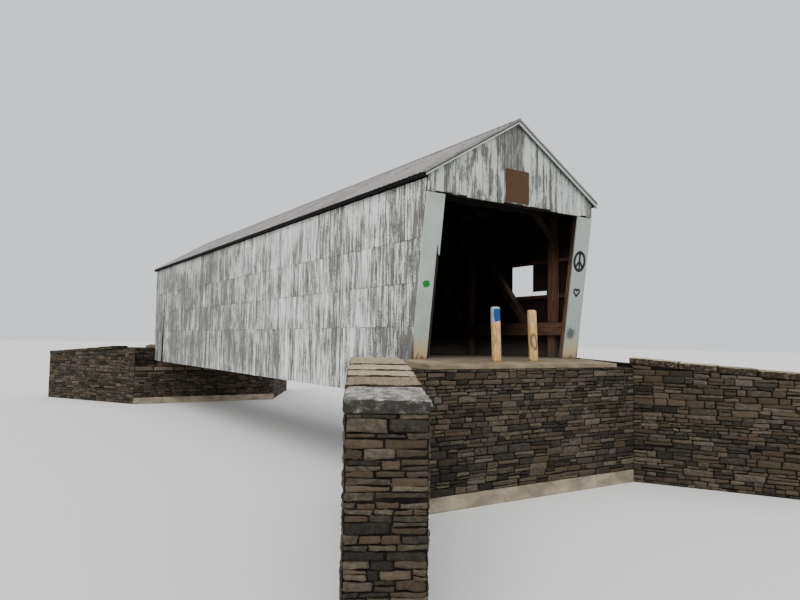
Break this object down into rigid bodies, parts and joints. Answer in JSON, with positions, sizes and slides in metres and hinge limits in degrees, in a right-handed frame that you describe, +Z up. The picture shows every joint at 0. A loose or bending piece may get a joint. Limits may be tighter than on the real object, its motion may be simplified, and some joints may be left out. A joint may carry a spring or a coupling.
{
  "type": "covered bridge",
  "caption": "Single-lane timber covered bridge with leaning portals, king-post trusses, flaking white board walls and a metal roof, on stone abutments with flared wing walls.",
  "frame": {"origin": "bottom centre of the bounding box, in the middle of the waterway at the level of the foundations", "axes": "+X along the bridge from the near portal, which has the sign and the bollards, to the far one; +Y to the left as one drives in; +Z up"},
  "size_m": [33.6442, 13.5818, 8.2702],
  "materials": {
    "concrete": "weathered, rough",
    "fieldstone": "rough, quarry-faced",
    "cap_stone": "rough, weathered",
    "truss_timber": "aged, unpainted",
    "floor_planks": "worn, dusty",
    "roof_timber": "aged, unpainted",
    "painted_boards": "flaking white paint",
    "painted_trim": "worn pale paint",
    "roof_metal": "dull galvanised",
    "sign_paint": "matt brown paint",
    "bollard_paint": "worn tan paint"
  },
  "bodies": {
    "root": {"bed_timbers": "truss_timber", "bollards": "bollard_paint", "bolsters": "truss_timber", "deck": "floor_planks", "eave_boards": "roof_timber", "far_abutment": "fieldstone", "far_backwall": "fieldstone", "far_casings": "painted_trim", "far_copings": "cap_stone", "far_gable": "painted_boards", "far_left_wing_wall": "fieldstone", "far_right_wing_wall": "fieldstone", "floor_beams": "truss_timber", "footings": "concrete", "girts": "truss_timber", "knee_braces": "truss_timber", "left_braces": "truss_timber", "left_lower_chord": "truss_timber", "left_posts": "truss_timber", "left_rafters": "roof_timber", "left_roof": "roof_metal", "left_siding": "painted_boards", "lintels": "truss_timber", "near_abutment": "fieldstone", "near_backwall": "fieldstone", "near_casings": "painted_trim", "near_copings": "cap_stone", "near_gable": "painted_boards", "near_left_wing_wall": "fieldstone", "near_right_wing_wall": "fieldstone", "portal_sills": "truss_timber", "portal_studs": "truss_timber", "purlins": "roof_timber", "rake_boards": "painted_trim", "rake_flashings": "roof_metal", "ridge_cap": "roof_metal", "right_braces": "truss_timber", "right_lower_chord": "truss_timber", "right_posts": "truss_timber", "right_rafters": "roof_timber", "right_roof": "roof_metal", "right_siding": "painted_boards", "sign_board": "sign_paint", "stringers": "truss_timber", "thresholds": "concrete", "tie_beams": "truss_timber", "top_chords": "truss_timber"}
  },
  "joints": []
}
